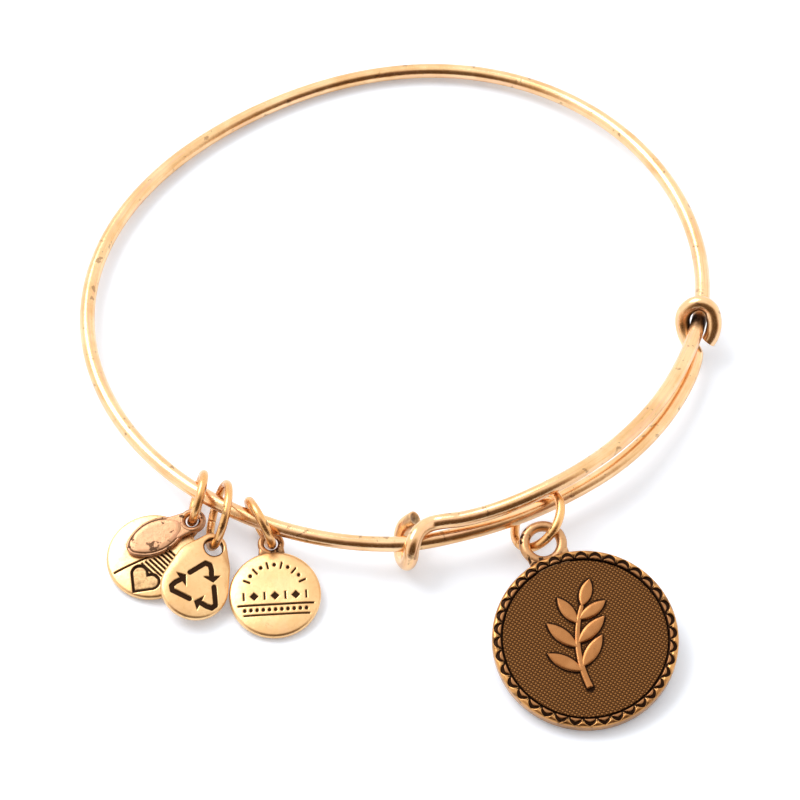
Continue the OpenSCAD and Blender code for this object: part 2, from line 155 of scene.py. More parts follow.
# Rows between the middle or the hole of a flat piece and its rounded edge
ROUND_ROWS, DROP_ROWS, OVAL_ROWS, NECK_ROWS = 76, 120, 44, 12
# Soft upper edge of the cast pieces: how far in it begins, and how deep it falls
TAG_SOFT, DROP_SOFT, OVAL_SOFT = (1.7, 0.17), (1.5, 0.16), (0.8, 0.1)
DISC_SOFT, NECK_SOFT = (0.3, 0.02), (0.2, 0.01)
# Rounding of the edges
TAG_EDGE, DROP_EDGE, OVAL_EDGE, DISC_EDGE = 0.38, 0.36, 0.2, 0.42


# Curves
def slopes(rows):
    """Slope of each row of a table against its first column."""
    a = np.vstack([rows[:1], rows[:-1]])
    b = np.vstack([rows[1:], rows[-1:]])
    return (b - a) / (b[:, :1] - a[:, :1])


LANE_SLOPES = slopes(LANES)


def hermite(p0, p1, m0, m1, u):
    """Cubic from p0 to p1 with slopes m0 and m1."""
    ends = (2 * u**3 - 3 * u**2 + 1) * p0 + (3 * u**2 - 2 * u**3) * p1
    return ends + (u**3 - 2 * u**2 + u) * m0 + (u**3 - u**2) * m1


def lane_table(x):
    """Row of LANES at course angle x, on a smooth curve through its rows."""
    x = min(max(x, LANES[0, 0]), LANES[-1, 0])
    i = max([k for k in range(len(LANES) - 1) if k == 0 or LANES[k, 0] <= x])
    h = LANES[i + 1, 0] - LANES[i, 0]
    u = (x - LANES[i, 0]) / h
    return hermite(LANES[i], LANES[i + 1], h * LANE_SLOPES[i], h * LANE_SLOPES[i + 1], u)


def spline_rows(rows, steps):
    """Rows of a table, with more rows between them on a smooth curve."""
    last, out = len(rows) - 1, []
    for i in range(last):
        m0 = (rows[min(i + 1, last)] - rows[max(i - 1, 0)]) / 2
        m1 = (rows[min(i + 2, last)] - rows[i]) / 2
        out += [hermite(rows[i], rows[i + 1], m0, m1, k / steps) for k in range(steps)]
    return out + [rows[last]]


def ease(u):
    """0 up to u = 0, 1 from u = 1, and a smooth step between."""
    u = min(max(u, 0), 1)
    return u * u * (3 - 2 * u)


def loop_radius(a):
    """Radius of the loop at course angle a."""
    return LOOP_R + sum(h * math.cos(math.radians(n * (a - crest))) for n, h, crest in OUT_OF_ROUND)


def loop_height(x, y):
    """Height of the loop's tilted plane."""
    return FRONT_H + RISE_RIGHT * x / (2 * LOOP_R) - FALL_BACK * (y - FRONT_Y) / (2 * LOOP_R)


# Course angle at which the overlap ends
B_END = LANES[-1, 0]


def single_share(a):
    """How far a has come from the overlap's end to its start: 0 inner lane, 1 outer lane."""
    return ease((a - B_END) / (COIL_A_AT + 360 - B_END))


def lane_step(a):
    """Step from the outer wire to the inner one at course angle a: inward, up."""
    if a <= B_END:
        row = lane_table(a)
    elif a >= COIL_A_AT + 360:
        row = lane_table(a - 360)
    else:
        s = single_share(a)
        row = (1 - s) * lane_table(B_END) + s * lane_table(COIL_A_AT)
    return row[1], row[2]


def out_dir(a):
    """Outward direction at course angle a."""
    return np.array([math.cos(math.radians(a)), math.sin(math.radians(a)), 0.0])


def lane_point(a):
    """Point of the wire's middle line at course angle a."""
    inward, up = lane_step(a)
    share = single_share(a) - 0.5
    p = np.array([*LOOP_AT, 0.0]) + (loop_radius(a) + share * inward) * out_dir(a)
    p[2] = loop_height(p[0], p[1]) + (INNER_RISE - 0.5 - share) * up
    return p


def angle_along(a, along):
    """Course angle that lies a distance along the loop from angle a."""
    return a + math.degrees(along / loop_radius(a))


def roll_dir(a, roll):
    """Direction across the course at angle a: outward at roll 0, up at roll 90."""
    r = math.radians(roll)
    return math.cos(r) * out_dir(a) + np.array([0, 0, math.sin(r)])


def lane_row(base, along, turn):
    """A lane's own row beside a coil, so that the coil leaves it without a kink."""
    inward, up = lane_step(angle_along(base, along))
    return np.array([math.degrees(math.atan2(up, -inward)) - turn, along, math.hypot(inward, up)])


def coil_points(rows, base):
    """Points of a coil round the wire, from its rows of roll, distance along and distance away."""
    out = []
    for roll, along, far in spline_rows(rows, COIL_STEPS):
        a = angle_along(base, along)
        out.append(lane_point(a) + far * roll_dir(a, roll))
    return out


def wire_course():
    """Middle line of the whole wire: coil, the loop with its overlap, coil."""
    a_lead = [lane_row(COIL_A_AT, LEAD_A + step, 0) for step in (LEAD_STEP, 0)]
    b_lead = [lane_row(COIL_B_AT, LEAD_B - step, 180) for step in (LEAD_STEP, 0)]
    a_rows, b_rows = np.vstack(a_lead + [COIL_A]), np.vstack(b_lead + [COIL_B])
    start = angle_along(COIL_A_AT, LEAD_A + LEAD_STEP)
    end = angle_along(COIL_B_AT, LEAD_B - LEAD_STEP) + 360
    n = int((end - start) / LANE_DEGREES)
    lane = [lane_point(start + (end - start) * k / n) for k in range(1, n)]
    return np.array(coil_points(a_rows, COIL_A_AT + 360)[::-1] + lane + coil_points(b_rows, COIL_B_AT))


# Meshes
# A direction that no path starts along; rows of a plate's upper and lower edge; rays that find a hull
ASKEW = (0.3, 0.2, 0.93)
UPPER_ROWS, LOWER_ROWS, HULL_RAYS = 12, 7, 2000
# Rows of a plate's lower face, as shares of the way from its middle
UNDER_ROWS = (0.66, 0.33, 0.0)
# Points closer than this, in metres, are one
SAME_PLACE = 1e-8


def rot(axis, deg):
    """Matrix of a turn about the x, y or z axis."""
    i = ("xyz".index(axis) + 1) % 3
    j = (i + 1) % 3
    matrix = np.eye(3)
    matrix[i, i] = matrix[j, j] = math.cos(math.radians(deg))
    matrix[j, i] = math.sin(math.radians(deg))
    matrix[i, j] = -matrix[j, i]
    return matrix


def placed(points, name):
    """Points of a flat piece, moved to where it lies."""
    at, lift, roll = PLACES[name]
    return points @ (rot("x", lift) @ rot("y", roll)).T + at


def strip_faces(rows, cols, first=0, closed_rows=False):
    """Quads of a grid whose columns close round."""
    r = np.arange(rows if closed_rows else rows - 1)[:, None]
    c = np.arange(cols)[None, :]
    r2, c2 = (r + 1) % rows, (c + 1) % cols
    quads = np.stack([r * cols + c, r * cols + c2, r2 * cols + c2, r2 * cols + c], -1)
    return (quads.reshape(-1, 4) + first).tolist()


def tidy_mesh(data):
    """Joins points that lie on each other, such as a fan's middle, and turns all faces outward."""
    work = bmesh.new()
    work.from_mesh(data)
    bmesh.ops.remove_doubles(work, verts=work.verts, dist=SAME_PLACE)
    bmesh.ops.recalc_face_normals(work, faces=work.faces)
    work.to_mesh(data)
    work.free()


class Mesh:
    """Vertices and faces of one object, put together part by part, with values kept at the vertices.

    A value that a part doesn't give is 0 there.
    """

    def __init__(self):
        self.verts, self.faces, self.slots, self.values = [], [], [], {}
        self.count = 0

    def add(self, verts, faces, slot=0, **values):
        """Adds a part, its faces numbered from its own first point."""
        first = self.count
        self.verts.append(verts)
        self.faces += [[i + first for i in f] for f in faces]
        self.slots += [slot] * len(faces)
        for key in sorted(set(values) | set(self.values)):
            old = self.values.setdefault(key, [np.zeros(first)])
            old.append(np.broadcast_to(np.asarray(values.get(key, 0.0), float), (len(verts),)))
        self.count += len(verts)

    def build(self, name, materials, node):
        """The object that takes the place of a CAD node."""
        data = bpy.data.meshes.new(name)
        data.from_pydata((np.vstack(self.verts) - MID) * MM, [], self.faces)
        for m in materials:
            data.materials.append(m)
        data.polygons.foreach_set("material_index", self.slots)
        data.polygons.foreach_set("use_smooth", [True] * len(self.faces))
        for key, parts in self.values.items():
            layer = data.attributes.new(key, "FLOAT", "POINT")
            layer.data.foreach_set("value", np.concatenate(parts).astype(np.float32))
        tidy_mesh(data)
        obj = bpy.data.objects.new(name, data)
        bpy.context.scene.collection.objects.link(obj)
        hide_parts(node)
        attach(obj, "root")
        return obj


def sweep(mesh, path, radius, sides, closed=False, slot=0, shade=None, **values):
    """Round tube along a path, with values along and around it; an open end is a shallow dish."""
    n = len(path)
    ahead = np.roll(path, -1, 0) - np.roll(path, 1, 0)
    if not closed:
        ahead[0], ahead[-1] = path[1] - path[0], path[-1] - path[-2]
    ahead /= np.linalg.norm(ahead, axis=1)[:, None]
    side = np.cross(ahead[0], ASKEW)
    sides_of = []
    for t in ahead:
        side = side - (side @ t) * t
        side /= np.linalg.norm(side)
        sides_of.append(side)
    side = np.array(sides_of)
    up = np.cross(ahead, side)
    turn = np.linspace(0, 2 * np.pi, sides, endpoint=False)
    radius = np.broadcast_to(np.asarray(radius, float), (n,))
    ring = np.cos(turn)[None, :, None] * side[:, None] + np.sin(turn)[None, :, None] * up[:, None]
    verts = (path[:, None] + radius[:, None, None] * ring).reshape(-1, 3)
    along = np.concatenate([[0], np.cumsum(np.linalg.norm(np.diff(path, axis=0), axis=1))])
    flow = {"along": np.repeat(along, sides), "cos_round": np.tile(np.cos(turn), n),
            "sin_round": np.tile(np.sin(turn), n)}
    faces = strip_faces(n, sides, closed_rows=closed)
    end = np.zeros(len(verts))
    if not closed:
        caps = []
        for row, sign in ((0, 1), (n - 1, -1)):
            for share, depth in END_DISH:
                caps.append(path[row] + share * radius[row] * ring[row] + sign * depth * ahead[row])
        verts = np.vstack([verts] + caps)
        if shade:
            values["dark"] = shade(verts)
        # Painted shade on the dish at each open end
        end = np.concatenate([end, np.tile(np.repeat(END_PAINTED_SHADE, sides), 2)])
        for key in flow:
            flow[key] = np.concatenate([flow[key], np.zeros(2 * len(END_DISH) * sides)])
        for cap, row in ((0, 0), (1, n - 1)):
            rows = [row * sides] + [(n + cap * len(END_DISH) + k) * sides for k in range(len(END_DISH))]
            for a, b in zip(rows, rows[1:]):
                for k in range(sides):
                    k2 = (k + 1) % sides
                    quad = [a + k, b + k, b + k2, a + k2]
                    faces.append(quad if cap == 0 else quad[::-1])
    mesh.add(verts, faces, slot, end=end, **flow, **values)


def plate(mesh, name, outline, normals, inner, t, edge, soft, steps, relief, slot=0):
    """Plate with rounded edges between an inner loop and its outline, its upper face softly crowned.

    relief gives depth and values of the upper face.
    """
    n = len(outline)
    soft_w, soft_h = soft
    first = math.atan2(2 * soft_h, soft_w)
    rows = []

    def ring(xy, z):
        rows.append(np.c_[xy, np.broadcast_to(z, (n,))])

    flat = outline - edge * (1 - math.sin(first)) * normals
    span = np.linalg.norm(flat - inner, axis=1)
    for step in steps:
        near = np.clip(1 - (1 - step) * span / soft_w, 0, 1)
        ring(inner + step * (flat - inner), t / 2 - soft_h * near**2)
    for a in np.linspace(first, math.pi / 2, UPPER_ROWS)[1:]:
        fall = soft_h + edge * (math.cos(first) - math.cos(a))
        ring(outline - edge * (1 - math.sin(a)) * normals, t / 2 - fall)
    top_rows = len(rows)
    for a in np.linspace(math.pi / 2, 0, LOWER_ROWS):
        ring(outline - edge * (1 - math.sin(a)) * normals, -t / 2 + edge * (1 - math.cos(a)))
    for step in UNDER_ROWS:
        ring(inner + step * (outline - edge * normals - inner), -t / 2)
    verts = np.vstack(rows)
    top = np.arange(len(verts)) < top_rows * n
    dz, found = relief(verts[top, 0], verts[top, 1])
    verts[top, 2] += dz
    values = {}
    for key, value in found.items():
        # Painted shade on the sides and the underside
        below = np.full((~top).sum(), SIDE_PAINTED_SHADE if key == "dark" else 0.0)
        values[key] = np.concatenate([value, below])
    faces = strip_faces(len(rows), n)
    if np.ptp(inner, axis=0).max() > 0:
        last = (len(rows) - 1) * n
        faces += [[last + k, last + (k + 1) % n, (k + 1) % n, k] for k in range(n)]
    mesh.add(placed(verts, name), faces, slot, **values)


def circle_line(r, n, centre=(0, 0)):
    """Points of a circle and its normals there."""
    a = np.linspace(0, 2 * np.pi, n, endpoint=False)
    d = np.c_[np.cos(a), np.sin(a)]
    return d * r + centre, d


def hull_line(circles, n):
    """Outline and normals of a band drawn tight round circles, its points evenly spaced."""
    a = np.linspace(0, 2 * np.pi, HULL_RAYS)
    d = np.c_[np.cos(a), np.sin(a)]
    centres, radii = np.array([c for c, _ in circles]), np.array([r for _, r in circles])
    best = (centres @ d.T + radii[:, None]).argmax(0)
    points = centres[best] + radii[best, None] * d
    length = np.concatenate([[0], np.cumsum(np.linalg.norm(np.diff(points, axis=0), axis=1))])
    even = np.linspace(0, length[-1], n, endpoint=False)
    out = np.c_[np.interp(even, length, points[:, 0]), np.interp(even, length, points[:, 1])]
    ahead = np.roll(out, -1, 0) - np.roll(out, 1, 0)
    return out, np.c_[ahead[:, 1], -ahead[:, 0]] / np.linalg.norm(ahead, axis=1)[:, None]


# Marks: distances in the plane
def smooth(x, low, high):
    """0 below low, 1 above high, and a smooth step between."""
    u = np.clip((x - low) / (high - low), 0, 1)
    return u * u * (3 - 2 * u)


def turned(x, y, deg, at=(0, 0)):
    """Coordinates in a frame that is turned by deg and has its origin at at."""
    c, s = math.cos(math.radians(deg)), math.sin(math.radians(deg))
    dx, dy = x - at[0], y - at[1]
    return c * dx + s * dy, -s * dx + c * dy


def bar(x, y, a, b, width):
    """Distance outside a stroke with round ends from a to b."""
    a, b = np.array(a, float), np.array(b, float)
    d = b - a
    u = np.clip(((x - a[0]) * d[0] + (y - a[1]) * d[1]) / (d @ d), 0, 1)
    return np.hypot(x - a[0] - u * d[0], y - a[1] - u * d[1]) - width / 2


def box(x, y, at, half, turn=0.0):
    """Distance outside a rectangle."""
    u, v = turned(x, y, turn, at)
    qx, qy = np.abs(u) - half[0], np.abs(v) - half[1]
    return np.hypot(np.maximum(qx, 0), np.maximum(qy, 0)) + np.minimum(np.maximum(qx, qy), 0)


def polygon(x, y, corners):
    """Signed distance to a convex polygon, its corners anticlockwise."""
    far = np.full_like(x, -np.inf)
    for (ax, ay), (bx, by) in zip(corners, corners[1:] + corners[:1]):
        length = math.hypot(bx - ax, by - ay)
        far = np.maximum(far, ((x - ax) * (by - ay) - (y - ay) * (bx - ax)) / length)
    return far


# Depth of what is engraved on each tag, and how far its edges run on either side
ROUND_CUT, DROP_CUT, HEART_CUT, CUT_SOFT = 0.12, 0.14, 0.13, 0.07


def marks(shapes, depth):
    """Depth and darkness of engraved shapes, given as signed distances."""
    inside = smooth(-np.minimum.reduce(shapes), -CUT_SOFT, CUT_SOFT)
    return -depth * inside, inside


# Round tag's arc of ticks and dots: how many, first angle, step, radii of a tick's ends, its width,
# radius of the dots' arc, radius of a dot
TICKS, TICK_FROM, TICK_STEP, TICK_ENDS, TICK_W, DOT_ARC_R, DOT_R = 11, 27, 13, (2.78, 3.4), 0.17, 3.1, 0.18
# Its rows: their turn, then each row's height, its pitch and how many marks lie either side of its middle,
# and half sizes of a lozenge and an upright
ROWS_TURN, LOZENGE_ROW, DOT_ROW = 3.5, (-0.25, 1.05, 3), (-1.75, 0.62, 5)
LOZENGE_HALF, UPRIGHT_HALF = (0.31, 0.31), (0.09, 0.4)
# Its rules: left end, right end, height, width
ROUND_RULES = ((-3.75, 3.85, -1.22, 0.15), (-3.2, 3.4, -2.3, 0.13))


def round_tag_marks(x, y):
    """Plain ticks and dots in an arc, a row of uprights and lozenges, and dots between two rules."""
    shapes = []
    for k in range(TICKS):
        a = math.radians(TICK_FROM + TICK_STEP * k)
        d = np.array([math.cos(a), math.sin(a)])
        if k % 2 == 0:
            shapes.append(bar(x, y, d * TICK_ENDS[0], d * TICK_ENDS[1], TICK_W))
        else:
            shapes.append(np.hypot(x - d[0] * DOT_ARC_R, y - d[1] * DOT_ARC_R) - DOT_R)
    u, v = turned(x, y, ROWS_TURN)
    height, pitch, reach = LOZENGE_ROW
    for k in range(-reach, reach + 1):
        at = (k * pitch, height)
        shapes.append(box(u, v, at, LOZENGE_HALF, 45) if k % 2 == 0 else box(u, v, at, UPRIGHT_HALF))
    height, pitch, reach = DOT_ROW
    for k in range(-reach, reach + 1):
        shapes.append(np.hypot(u - k * pitch, v - height) - DOT_R)
    for left, right, height, width in ROUND_RULES:
        shapes.append(bar(u, v, (left, height), (right, height), width))
    return marks(shapes, ROUND_CUT)


# Middle of the three bent arrows; one arrow's line, tip, ends of its head's wings, width, and how far
# its head is rounded
ARROWS_AT = (0.3, -0.08)
ARROW_LINE = ((-0.83, 1.42), (0.7, 2.55), (1.2, 2.38), (1.36, 1.85), (1.38, 1.1))
ARROW_TIP, ARROW_WINGS, ARROW_W, HEAD_ROUND = (1.56, 0.58), ((0.68, 1.05), (2.12, 1.2)), 0.5, 0.05
# Softened rim of the drop tag's hole: width, depth, patina
RIM_W, RIM_FALL, RIM_DARK = 0.2, 0.14, 0.8


def drop_tag_marks(x, y):
    """Three bent arrows that chase each other, and the hole's softened rim."""
    shapes = []
    for k in range(3):
        u, v = turned(x, y, 120 * k, ARROWS_AT)
        shapes += [bar(u, v, a, b, ARROW_W) for a, b in zip(ARROW_LINE, ARROW_LINE[1:])]
        shapes.append(polygon(u, v, [ARROW_WINGS[0], ARROW_TIP, ARROW_WINGS[1]]) - HEAD_ROUND)
    dz, dark = marks(shapes, DROP_CUT)
    far = np.hypot(x - DROP_HOLE[0], y - DROP_HOLE[1]) - DROP_HOLE_R
    rim = 1 - smooth(far, 0.0, RIM_W)
    return dz - RIM_FALL * rim, np.maximum(dark, RIM_DARK * rim)


# Heart tag: ends and width of its rule; bars under it: how many, first, pitch, lean, length, width
HEART_RULE, RULE_W = (-4.15, 0.6), 0.16
BARS, BARS_AT, BAR_PITCH, BAR_LEAN, BAR_SIZE = 8, (-1.25, -0.42), 0.44, -71.5, (2.2, 0.2)
# Heart: its tip, its lean, width of each arm, and where an arm's round end has its middle
HEART_TIP, HEART_LEAN, HEART_ARM, HEART_REACH = (-3.32, -2.75), -64.5, 1.63, 1.92
# Its sunk middle: depth, patina, how far its edge runs
HEART_SUNK, HEART_DARK, HEART_SOFT = 0.12, 0.42, 0.06
# Its outline: how far inside the edge, further depth, distances from and to which it fades
HEART_LINE_IN, HEART_LINE_CUT, HEART_LINE_FADE = 0.03, 0.05, (0.09, 0.2)


def heart_shape(x, y):
    """Signed distance, roughly, to the heart."""
    u, v = turned(x, y, HEART_LEAN + 45, HEART_TIP)
    far = np.full_like(x, np.inf)
    for p, q in ((u, v), (v, u)):
        arm = np.maximum(np.maximum(-p, p - HEART_ARM), np.maximum(-q, q - HEART_REACH))
        end = np.hypot(p - HEART_ARM / 2, q - HEART_REACH) - HEART_ARM / 2
        far = np.minimum(far, np.minimum(arm, end))
    return far


def heart_tag_marks(x, y):
    """A rule, a row of leaning bars and a heart."""
    u, v = turned(x, y, HEART_TURN)
    shapes = [bar(u, v, (HEART_RULE[0], 0), (HEART_RULE[1], 0), RULE_W)]
    lean = math.radians(BAR_LEAN)
    for k in range(BARS):
        x0, y0 = BARS_AT[0] + BAR_PITCH * k, BARS_AT[1]
        far_end = (x0 + BAR_SIZE[0] * math.cos(lean), y0 + BAR_SIZE[0] * math.sin(lean))
        shapes.append(bar(u, v, (x0, y0), far_end, BAR_SIZE[1]))
    dz, dark = marks(shapes, HEART_CUT)
    heart = heart_shape(u, v)
    inside = smooth(-heart, -HEART_SOFT, HEART_SOFT)
    line = 1 - smooth(np.abs(heart + HEART_LINE_IN), *HEART_LINE_FADE)
    dz = np.minimum(dz, -HEART_SUNK * inside - HEART_LINE_CUT * line)
    return dz, np.maximum(dark, np.maximum(line, HEART_DARK * inside))


def oval_outline(inset, n):
    """Points of the oval, drawn in by inset, and its normals there."""
    l, w, end = OVAL_L / 2 - inset, OVAL_W / 2 - inset, OVAL_END - inset
    c = l - end
    side = (c * c + w * w - end * end) / (2 * (w - end))
    a = np.linspace(0, 2 * np.pi, n, endpoint=False)
    d = np.c_[np.cos(a), np.sin(a)]
    # Support point of each direction: on an end's circle, or on a wide side arc
    split = math.atan2(side - w, c)
    up = np.abs(np.sin(a)) > math.sin(split)
    points = np.where(up[:, None], d * side + np.c_[np.zeros(n), np.sign(d[:, 1]) * (w - side)],
                      d * end + np.c_[np.sign(d[:, 0]) * c, np.zeros(n)])
    return points, d


# Oval tag's border line: inset, distances from and to which it fades, depth, patina, points along it
BORDER_IN, BORDER_FADE, BORDER_CUT, BORDER_DARK, BORDER_STEPS = 0.31, (0.03, 0.11), 0.06, 0.6, 400


def oval_marks(x, y):
    """A fine line inside the oval's edge."""
    u, v = turned(x, y, HEART_TURN)
    line, _ = oval_outline(BORDER_IN, BORDER_STEPS)
    far = np.full(len(x), np.inf)
    for p in line:
        far = np.minimum(far, np.hypot(u - p[0], v - p[1]))
    inside = 1 - smooth(far, *BORDER_FADE)
    return -BORDER_CUT * inside, BORDER_DARK * inside


# Disc: depths of the arches, of the slits between them, of the lobes and of the groove
ARCH_CUT, SLIT_CUT, LOBE_CUT, GROOVE_CUT = 0.2, 0.12, 0.06, 0.3
# How far the arches drift round the rim, in degrees, and how their edges run, outside and inside
ARCH_DRIFT, ARCH_SOFT = 1.7, (-0.04, 0.05)
# Lobes count from this height over the scallops' feet
LOBE_FROM = -0.1
# Slits: half width from and to which they fade, and the heights over which they start and end
SLIT_FADE, SLIT_START, SLIT_END = (0.015, 0.075), (-0.02, 0.05), (0.3, 0.5)
# How the edges of the groove and of the field run, inside and outside
GROOVE_SOFT, FIELD_SOFT = (-0.02, 0.05), (-0.05, 0.02)
# Painted shade in the arches, patina in the slits, and copper at the scallops' feet: share, height at which
# it ends
ARCH_PAINTED_SHADE, SLIT_DARK, FOOT_COPPER, FOOT_H = 0.95, 0.85, 0.5, 0.25


def disc_relief(x, y):
    """Scallops, groove and sunk field of the disc."""
    r, a = np.hypot(x, y), np.degrees(np.arctan2(y, x))
    first = FIRST_ARCH - ARCH_DRIFT * np.cos(np.radians(2 * a))
    pitch = 360 / SCALLOPS
    off = (a - first + pitch / 2) % pitch - pitch / 2
    across = np.radians(off) * r
    up = r - ARCH_FOOT
    side = (ARCH_W**2 + ARCH_H**2) / (2 * ARCH_W)
    arch = np.maximum(np.hypot(across + (side - ARCH_W), up), np.hypot(across - (side - ARCH_W), up)) - side
    arch = np.maximum(arch, -up)
    lobe_r = (LOBE_W**2 + LOBE_H**2) / (2 * LOBE_H)
    lobe = np.hypot(across, up - (LOBE_H - lobe_r)) - lobe_r
    in_arch = smooth(-arch, *ARCH_SOFT)
    in_lobe = smooth(-lobe, *ARCH_SOFT) * (up > LOBE_FROM)
    sunk = in_arch * (1 - in_lobe)
    half = np.radians(pitch / 2) * r - np.abs(across)
    slit = (1 - smooth(half, *SLIT_FADE)) * (1 - smooth(up, *SLIT_END)) * smooth(up, *SLIT_START)
    groove = 1 - smooth(np.abs(r - GROOVE_R) - GROOVE_W / 2, *GROOVE_SOFT)
    field = 1 - smooth(r - GROOVE_R, *FIELD_SOFT)
    dz = -ARCH_CUT * sunk - SLIT_CUT * slit - LOBE_CUT * in_lobe * in_arch
    dz = dz - FIELD_DEPTH * field - GROOVE_CUT * groove
    # Painted shade in the sunk arches, patina in the slits, and black in the groove
    dark = np.maximum(np.maximum(ARCH_PAINTED_SHADE * sunk, SLIT_DARK * slit), groove)
    copper = np.maximum(in_lobe * in_arch, FOOT_COPPER * (1 - smooth(up, 0.0, FOOT_H)))
    return dz, {"dark": dark, "copper": copper, "field": field * (1 - groove)}


# Materials
# Slot of each node; one that the record doesn't list takes the first
SLOTS = {n: m["slot"] for m in frame["record"]["materials"] for n in m.get("nodes", [])}
for n in frame["nodes"]:
    SLOTS.setdefault(n, frame["record"]["materials"][0]["slot"])


class Shader:
    """A material, and short ways to add nodes to it; inputs take a value or another node's output."""

    def __init__(self, name):
        self.mat = bpy.data.materials.new(name)
        self.mat.use_nodes = True
        self.tree = self.mat.node_tree
        self.bsdf = self.tree.nodes["Principled BSDF"]

    def node(self, kind, **inputs):
        """A new node, with its inputs set."""
        node = self.tree.nodes.new(kind)
        for key, value in inputs.items():
            self.put(node, key, value)
        return node

    def put(self, node, key, value):
        """Sets an input, which key gives by its name, or by "i" and its number."""
        socket = node.inputs[int(key[1:])] if key[0] == "i" and key[1:].isdigit() else node.inputs[key]
        if isinstance(value, bpy.types.NodeSocket):
            self.tree.links.new(value, socket)
        else:
            socket.default_value = value

    def value(self, name):
        """A value that the mesh keeps at its vertices."""
        node = self.node("ShaderNodeAttribute")
        node.attribute_name = name
        return node.outputs["Fac"]

    def math(self, kind, a, b=0.0, clamp=False):
        """A calculation with two values; clamp keeps it between 0 and 1."""
        node = self.node("ShaderNodeMath", i0=a, i1=b)
        node.operation = kind
        node.use_clamp = clamp
        return node.outputs[0]

    def mix(self, share, a, b):
        """Colour a, with a share of colour b."""
        node = self.node("ShaderNodeMix")
        node.data_type = "RGBA"
        self.put(node, "i0", share)
        self.put(node, "i6", a)
        self.put(node, "i7", b)
        return node.outputs[2]

    def ramp(self, value, low, high):
        """0 below low, 1 above high, and a smooth step between."""
        node = self.node("ShaderNodeMapRange")
        node.interpolation_type = "SMOOTHSTEP"
        self.put(node, "i0", value)
        self.put(node, "i1", low)
        self.put(node, "i2", high)
        return node.outputs[0]

    def noise(self, vector, scale, detail=3.0, rough=0.55):
        """Soft noise round 0.5; rough is how much its finer layers weigh."""
        node = self.node("ShaderNodeTexNoise", Vector=vector, Scale=scale, Detail=detail, Roughness=rough)
        return node.outputs["Fac"]

    def speckle(self, vector):
        """Rare peaks, where a coarse and a fine noise are both high."""
        return self.math("MULTIPLY", self.noise(vector, 700, 2), self.noise(vector, 1900, 2))

    def bump(self, height, strength, distance):
        """Surface direction that follows a height, without moving the surface."""
        node = self.node("ShaderNodeBump", Height=height, Strength=strength, Distance=distance)
        return node.outputs["Normal"]


def rgb(r, g, b):
    """An opaque colour."""
    return (r, g, b, 1.0)


# Fine grain that all metals share: scale, detail, roughness
FINE_GRAIN = (2600, 4, 0.65)


def metal(name, light, deep, tint, pits, rough, flow=False):
    """Antiqued metal: a light colour that drifts to a deeper one, patches of a third, patina in the dips and
    painted shade where the mesh gives it.

    flow draws the drift out along a wire.
    """
    s = Shader(name)
    where = s.node("ShaderNodeTexCoord").outputs["Object"]
    drift = s.ramp(s.noise(where, 260, 3), 0.35, 0.7)
    fine = s.noise(where, *FINE_GRAIN)
    streak, patch = fine, s.noise(where, 420, 2)
    if flow:
        along = s.math("MULTIPLY", s.value("along"), 0.05)
        line = s.node("ShaderNodeCombineXYZ", X=along, Y=s.value("cos_round"), Z=s.value("sin_round"))
        streak, patch = s.noise(line.outputs[0], 5.5, 4, 0.6), s.noise(line.outputs[0], 2.6, 3, 0.6)
    # Colour: slow drift, streaks of the deeper colour, patches of the third, pits, and patina and painted
    # shade on top
    colour = s.mix(s.math("MULTIPLY", drift, 0.5), light, deep)
    colour = s.mix(s.math("MULTIPLY", s.ramp(streak, 0.45, 0.75), 0.45), colour, deep)
    colour = s.mix(s.math("MULTIPLY", s.ramp(patch, 0.5, 0.68), 0.6), colour, tint)
    spots = s.ramp(s.speckle(where), 0.4 - 0.1 * pits, 0.47 - 0.1 * pits)
    colour = s.mix(s.math("MULTIPLY", spots, pits), colour, SHADE_AND_PATINA)
    # Patina in the hollows together with painted shade on the sides, joins, coils and cut ends
    dark = s.math("MAXIMUM", s.value("dark"), s.value("end"))
    patina_and_shade = s.math("ADD", dark, s.math("MULTIPLY", s.math("SUBTRACT", fine, 0.5), 0.35), True)
    colour = s.mix(s.ramp(patina_and_shade, 0.15, 0.75), colour, SHADE_AND_PATINA)
    s.put(s.bsdf, "Base Color", colour)
    s.bsdf.inputs["Metallic"].default_value = 1.0
    # Surface: duller where the patina and the painted shade are, with grain, pits, dents and streaks in the
    # bump
    dull = s.math("ADD", s.math("MULTIPLY", dark, 0.35), rough - 0.08)
    s.put(s.bsdf, "Roughness", s.math("ADD", s.math("MULTIPLY", fine, 0.16), dull))
    pitted = s.math("SUBTRACT", fine, s.math("MULTIPLY", spots, pits))
    dents = s.math("MULTIPLY", s.noise(where, 800, 2), 1.6)
    height = s.math("ADD", s.math("ADD", pitted, dents), s.math("MULTIPLY", streak, 0.6))
    s.put(s.bsdf, "Normal", s.bump(height, 0.16, 0.00006))
    return s.mat


SHADE_AND_PATINA = rgb(0.05, 0.024, 0.013)
DEEP_SHADE_AND_PATINA = rgb(0.02, 0.009, 0.005)
ROSE = rgb(0.84, 0.49, 0.33)
GOLD = rgb(0.96, 0.65, 0.37)
GOLD_DEEP = rgb(0.66, 0.34, 0.11)
WIRE_GOLD = metal("wire_gold", GOLD, GOLD_DEEP, ROSE, flow=True, pits=0.45, rough=0.22)
RING_GOLD = metal("ring_gold", rgb(0.86, 0.50, 0.21), GOLD_DEEP, ROSE, flow=True, pits=0.6, rough=0.26)
TAG_GOLD = metal("tag_gold", rgb(0.93, 0.63, 0.32), rgb(0.74, 0.41, 0.17), rgb(0.88, 0.55, 0.29),
                 pits=0.2, rough=0.34)
OVAL_COPPER = metal("oval_copper", rgb(0.52, 0.29, 0.165), rgb(0.36, 0.18, 0.09), rgb(0.56, 0.28, 0.17),
                    pits=0.9, rough=0.34)
